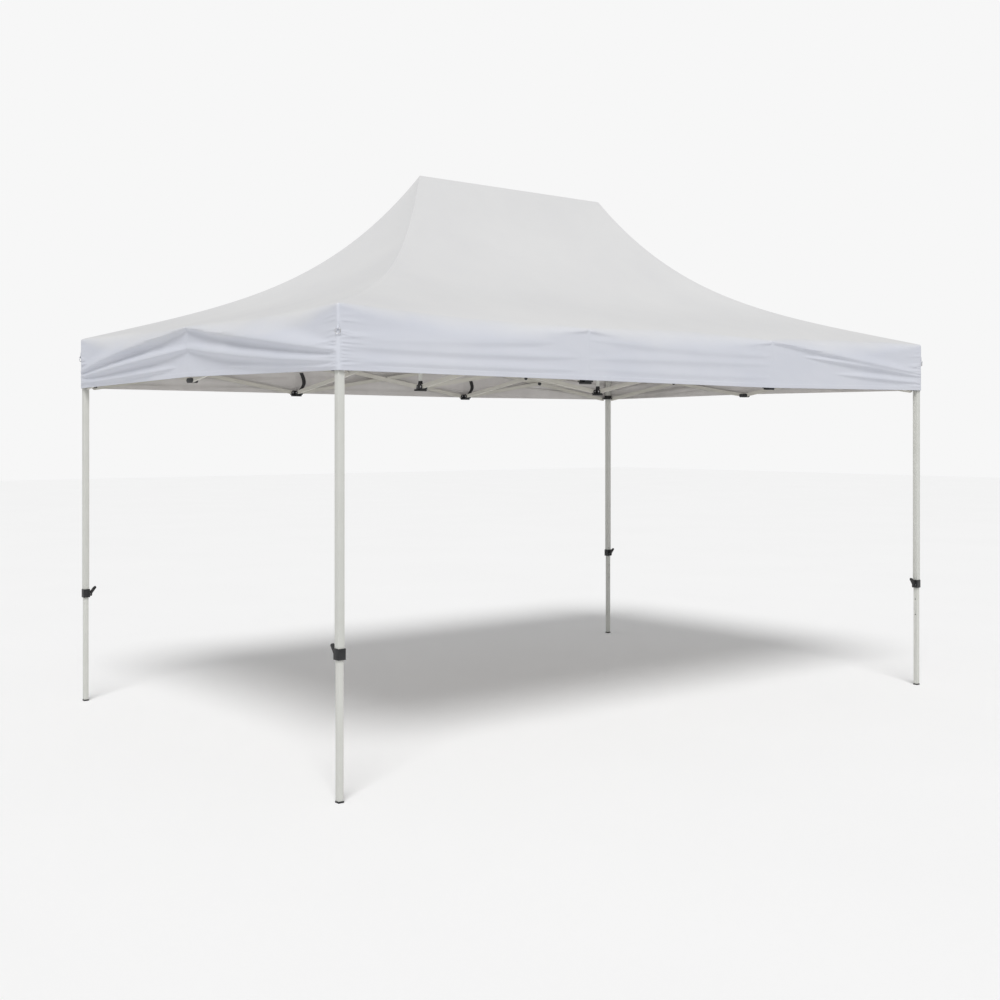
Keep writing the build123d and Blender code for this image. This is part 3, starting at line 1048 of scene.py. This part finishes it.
def connector_bases():
    """Flanged feet under the lower connectors and hubs, and a collar round each pole."""
    for node in list(frame["nodes"]):
        lower_hub = node.endswith("_lower_hub_and_peak_pole")
        if not (node.endswith("_lower_connector") or lower_hub):
            continue
        low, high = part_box(node)
        x = math.copysign(HUB_X, low.x + high.x)
        y = 0.0 if lower_hub else math.copysign(LEG_Y, low.y + high.y)
        z = LOWER_PIVOT_Z - CONNECTOR_HALF_HEIGHT
        name = node.split("_and")[0]

        def flat(u, v, w, x=x, y=y):
            return (x + u, y + v, w)

        outline = stadium(HUB_FOOT_HALF if lower_hub else CONNECTOR_FOOT_HALF, FOOT_HALF_WIDTH)
        foot = prism(name + "_foot", outline, z - FOOT_THICK, z + FOOT_INSIDE, flat)
        dressed(rounded(foot, 0.0030), body_of(node), [NYLON])
        if lower_hub:
            collar = turned(name + "_collar", COLLAR, Vector((x, y, LOWER_PIVOT_Z + COLLAR_UP)))
            dressed(collar, body_of(node), [NYLON])


def side_joints():
    """Round cheeks over the middle pivots of the short sides."""
    levels = (
        ("lower", "falling", LOWER_PIVOT_Z, LOWER_CHEEK_HALF),
        ("upper", "rising", UPPER_PIVOT_Z, UPPER_CHEEK_HALF),
    )
    for side, sign in (("left", -1), ("right", 1)):
        for level, kind, z, half in levels:
            bar = f"{side}_truss_front_{kind}_bar"
            low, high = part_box(bar)
            faces = (low.x, high.x) if sign < 0 else (high.x, low.x)
            for face, start, way in zip(("outer", "inner"), faces, (sign, -sign)):

                def across(u, v, w, start=start, way=way, z=z):
                    return (start + way * w, u, z + v)

                name = f"{side}_{level}_{face}_cheek"
                plate = prism(name, stadium(half, CHEEK_RADIUS), -CHEEK_OVERLAP, CHEEK_PROUD, across)
                dressed(rounded(plate, 0.0008, 2), body_of(bar), [NYLON])


# ---------------------------------------------------------------- stage
def make_camera():
    data = bpy.data.cameras.new("camera")
    data.lens = 47.9
    data.sensor_width = 36
    data.shift_y = -0.0665
    data.clip_end = 200
    camera = new_object("camera", data)
    camera.location = (-5.354, -6.469, 1.633)
    camera.rotation_euler = (math.radians(90), 0, math.radians(-39.014))
    bpy.context.scene.camera = camera


def make_stage():
    mesh = bpy.data.meshes.new("floor")
    mesh.from_pydata([(-40, -40, 0), (40, -40, 0), (40, 40, 0), (-40, 40, 0)], [], [(0, 1, 2, 3)])
    floor = new_object("floor", mesh)
    material, tree, shader = node_material("floor_paint", (0.93, 0.93, 0.93), 0.9)
    tint = noise_node(tree, coordinates(tree), 0.6, 2)
    link(tree, ramp(tree, tint, (0.978, 0.978, 0.978), (0.990, 0.990, 0.990)), shader.inputs["Base Color"])
    mesh.materials.append(material)
    sun = bpy.data.lights.new("key", "SUN")
    sun.energy = 2.0
    sun.angle = math.radians(24)
    key = new_object("key", sun)
    key.rotation_euler = Vector((0.52, 0.62, -1.05)).to_track_quat("-Z", "Y").to_euler()
    world = bpy.data.worlds.new("studio")
    world.use_nodes = True
    tree = world.node_tree
    background = tree.nodes["Background"]
    background.inputs["Color"].default_value = (1.0, 1.0, 1.0, 1)
    background.inputs["Strength"].default_value = 0.44
    backdrop = tree.nodes.new("ShaderNodeBackground")
    backdrop.inputs["Color"].default_value = (0.93, 0.93, 0.93, 1)
    seen = tree.nodes.new("ShaderNodeLightPath")
    mix = tree.nodes.new("ShaderNodeMixShader")
    link(tree, seen.outputs["Is Camera Ray"], mix.inputs["Fac"])
    link(tree, background.outputs["Background"], mix.inputs[1])
    link(tree, backdrop.outputs["Background"], mix.inputs[2])
    link(tree, mix.outputs["Shader"], tree.nodes["World Output"].inputs["Surface"])
    bpy.context.scene.world = world
    bpy.context.scene.view_settings.view_transform = "Standard"


def crossing_caps():
    """Moulded caps on the inner ends of the pins where two bars cross."""
    for node in list(frame["nodes"]):
        if not node.endswith("_falling_bar"):
            continue
        low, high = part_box(node)
        centre = (low + high) / 2
        along_x = high.x - low.x > high.y - low.y
        inward = -1 if (centre.y if along_x else centre.x) > 0 else 1
        face = (low, high)[inward > 0]
        start = face.y if along_x else face.x

        def cap(u, v, w, centre=centre, along_x=along_x, inward=inward, start=start):
            across = start + inward * w
            return (centre.x + u, across, centre.z + v) if along_x else (across, centre.y + u, centre.z + v)

        outline = stadium(CROSSING_CAP * 1.15, CROSSING_CAP)
        plate = prism(node + "_cap", outline, -CROSSING_CAP_PROUD, CROSSING_CAP_PROUD, cap)
        dressed(rounded(plate, 0.0012, 2), body_of(node), [NYLON])


make_camera()
make_stage()
cover = dress_canopy()
dress_bars()
dress_connectors()
dress_legs()
rings = corner_rings()
frame_straps()
connector_bases()
side_joints()
crossing_caps()
hangers = [f"{name}_upper_leg" for name in LEGS] + [f"{name}_upper_connector" for name in LEGS]
hangers += [side + "_lower_hub_and_peak_pole" for side in ("left", "right")]
